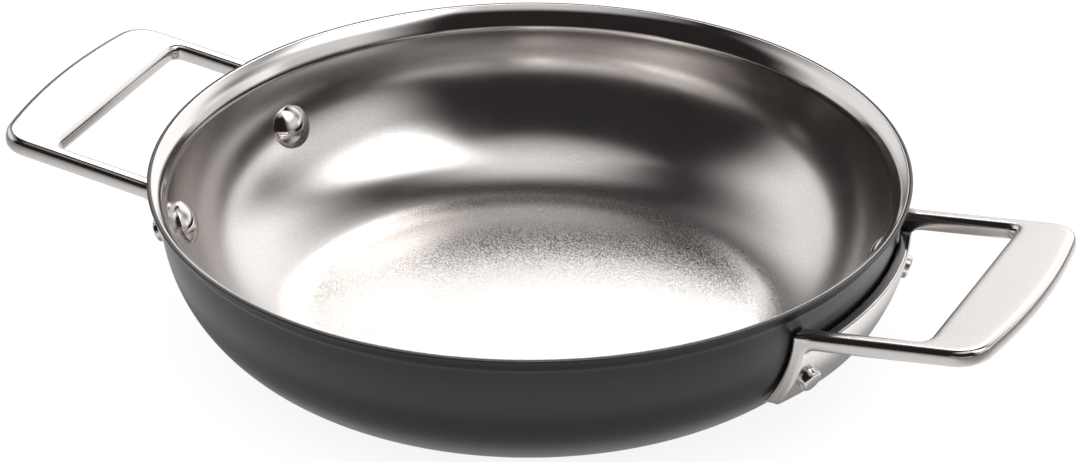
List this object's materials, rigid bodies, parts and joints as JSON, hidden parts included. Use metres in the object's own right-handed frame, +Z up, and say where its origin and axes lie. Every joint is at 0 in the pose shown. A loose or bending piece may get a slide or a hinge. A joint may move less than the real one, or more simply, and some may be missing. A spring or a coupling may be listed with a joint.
{
  "type": "two-handled frying pan",
  "caption": "Shallow round pan with a curved wall, flared lip, dark anodised outside, steel inside and two riveted loop handles.",
  "frame": {"origin": "middle of the flat base, on the surface that the pan stands on", "axes": "+Z up out of the bowl, +X along the line through both handles, +Y across it"},
  "size_m": [0.316, 0.22, 0.051],
  "materials": {
    "liner_steel": "fine satin in the bowl, polished on the flared lip and its edge",
    "core_aluminium": "plain rolled sheet, hidden between the other layers",
    "anodised_skin": "hard anodised, dark grey satin",
    "cast_steel": "fine satin faces with polished round edges",
    "rivet_steel": "polished steel"
  },
  "bodies": {
    "root": {"steel_liner": "liner_steel", "aluminium_core": "core_aluminium", "anodised_shell": "anodised_skin", "handle_right": "cast_steel", "handle_left": "cast_steel", "rivet_right_front": "rivet_steel", "rivet_right_back": "rivet_steel", "rivet_left_front": "rivet_steel", "rivet_left_back": "rivet_steel"}
  },
  "joints": []
}
